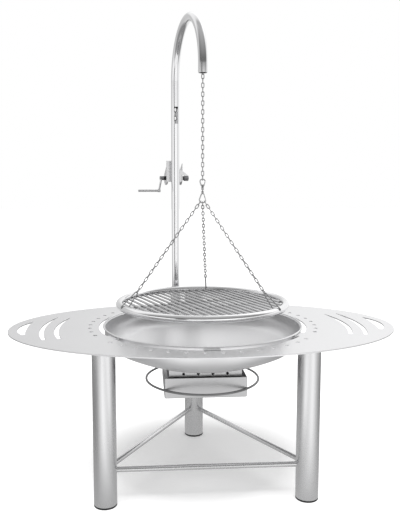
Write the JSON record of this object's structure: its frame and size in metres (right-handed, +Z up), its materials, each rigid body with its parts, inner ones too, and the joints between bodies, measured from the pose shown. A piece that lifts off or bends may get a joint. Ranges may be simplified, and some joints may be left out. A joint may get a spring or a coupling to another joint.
{
  "type": "swing grill",
  "caption": "Swing grill: elliptical table on three tube legs, round fire bowl with ash drawer, turning gallows with hand winch, and a round grate hung on chains.",
  "frame": {"origin": "on the floor, under the middle of the whole grill's box", "axes": "+Z up; +X along the table, to the right as seen from the front; +Y to the back, where the gallows post stands"},
  "size_m": [1.556, 1.0684, 1.9467],
  "materials": {
    "tube_steel": "satin stainless tube, lengthwise grain",
    "plate_steel": "satin stainless sheet",
    "bowl_steel": "spun stainless sheet, satin",
    "duct_steel": "folded stainless sheet, satin",
    "winch_steel": "satin stainless",
    "chain_steel": "polished stainless wire",
    "grate_steel": "polished stainless bars and rim",
    "black_plastic": "matt black"
  },
  "bodies": {
    "stand": {"leg_left": "tube_steel", "leg_right": "tube_steel", "leg_rear": "tube_steel", "foot_cap_left": "black_plastic", "foot_cap_right": "black_plastic", "foot_cap_rear": "black_plastic", "leg_flange_left": "tube_steel", "leg_flange_right": "tube_steel", "leg_flange_rear": "tube_steel", "rear_leg_cap": "tube_steel", "brace_left": "tube_steel", "brace_front": "tube_steel", "brace_right": "tube_steel", "table_plate": "plate_steel", "fire_bowl": "bowl_steel", "ash_grate": "duct_steel", "rim_tab": "bowl_steel", "ash_duct": "duct_steel", "duct_rail_left": "duct_steel", "duct_rail_right": "duct_steel", "post_sleeve": "tube_steel", "sleeve_plug": "black_plastic", "sleeve_gusset_lower": "tube_steel", "sleeve_gusset_upper": "tube_steel"},
    "ash_drawer": {"ash_tray": "duct_steel", "tray_runner_left": "duct_steel", "tray_runner_right": "duct_steel", "tray_hoop": "duct_steel"},
    "gallows": {"gallows_tube": "tube_steel", "mouth_guide": "black_plastic", "winch_base": "winch_steel", "post_clamp_lower": "winch_steel", "post_clamp_upper": "winch_steel", "winch_cheek_left": "winch_steel", "winch_cheek_right": "winch_steel", "shaft_bush_left": "black_plastic", "shaft_bush_right": "black_plastic", "winch_chain": "chain_steel"},
    "crank": {"crank_shaft": "winch_steel", "winch_drum": "winch_steel", "crank_hub": "black_plastic", "crank_arm": "winch_steel", "crank_handle": "winch_steel"},
    "brake": {"brake_knob": "black_plastic"},
    "chain_top": {"top_link": "chain_steel"},
    "chain": {"main_chain": "chain_steel"},
    "suspension": {"upper_snap_hook": "chain_steel"},
    "upper_gate": {"upper_hook_gate": "chain_steel"},
    "grate_set": {"lower_snap_hook": "chain_steel", "bridle_chain_rear": "chain_steel", "bridle_chain_left": "chain_steel", "bridle_chain_right": "chain_steel", "hanger_rear": "chain_steel", "hanger_left": "chain_steel", "hanger_right": "chain_steel", "grate_rim": "grate_steel", "grate_bars": "grate_steel"},
    "lower_gate": {"lower_hook_gate": "chain_steel"}
  },
  "joints": [
    {"name": "tray_slide", "type": "slide", "parent": "stand", "child": "ash_drawer", "axis": [0, -1, 0], "range_m": [0, 0.25]},
    {"name": "gallows_swing", "type": "hinge", "parent": "stand", "child": "gallows", "pos_m": [-0.088, 0.43484, 0], "axis": [0, 0, 1], "continuous": true},
    {"name": "crank_turn", "type": "hinge", "parent": "gallows", "child": "crank", "pos_m": [-0.09947, 0.49374, 1.253], "axis": [0.9816, 0.1911, 0], "range_deg": [0, 860]},
    {"name": "brake_turn", "type": "hinge", "parent": "crank", "child": "brake", "pos_m": [-0.09947, 0.49374, 1.253], "axis": [0.9816, 0.1911, 0], "range_deg": [-90, 180]},
    {"name": "chain_swing_x", "type": "hinge", "parent": "gallows", "child": "chain_top", "pos_m": [0, -0.01716, 1.665], "axis": [1, 0, 0], "range_deg": [-4, 4]},
    {"name": "chain_swing_y", "type": "hinge", "parent": "chain_top", "child": "chain", "pos_m": [0, -0.01716, 1.6525], "axis": [0, 1, 0], "range_deg": [-4, 4]},
    {"name": "hoist", "type": "slide", "parent": "chain", "child": "suspension", "axis": [0, 0, 1], "range_m": [0, 0.3], "deforming": ["main_chain"]},
    {"name": "upper_gate_open", "type": "hinge", "parent": "suspension", "child": "upper_gate", "pos_m": [0.00729, -0.01716, 1.22262], "axis": [0, 1, 0], "range_deg": [-17, 0]},
    {"name": "grate_spin", "type": "hinge", "parent": "suspension", "child": "grate_set", "pos_m": [0, -0.01716, 1.205], "axis": [0, 0, 1], "continuous": true},
    {"name": "lower_gate_open", "type": "hinge", "parent": "grate_set", "child": "lower_gate", "pos_m": [0.00591, -0.01716, 1.18054], "axis": [0, 1, 0], "range_deg": [0, 15]}
  ],
  "couplings": [
    {"joint": "crank_turn", "follows": "hoist", "rad_per_m": 50}
  ]
}
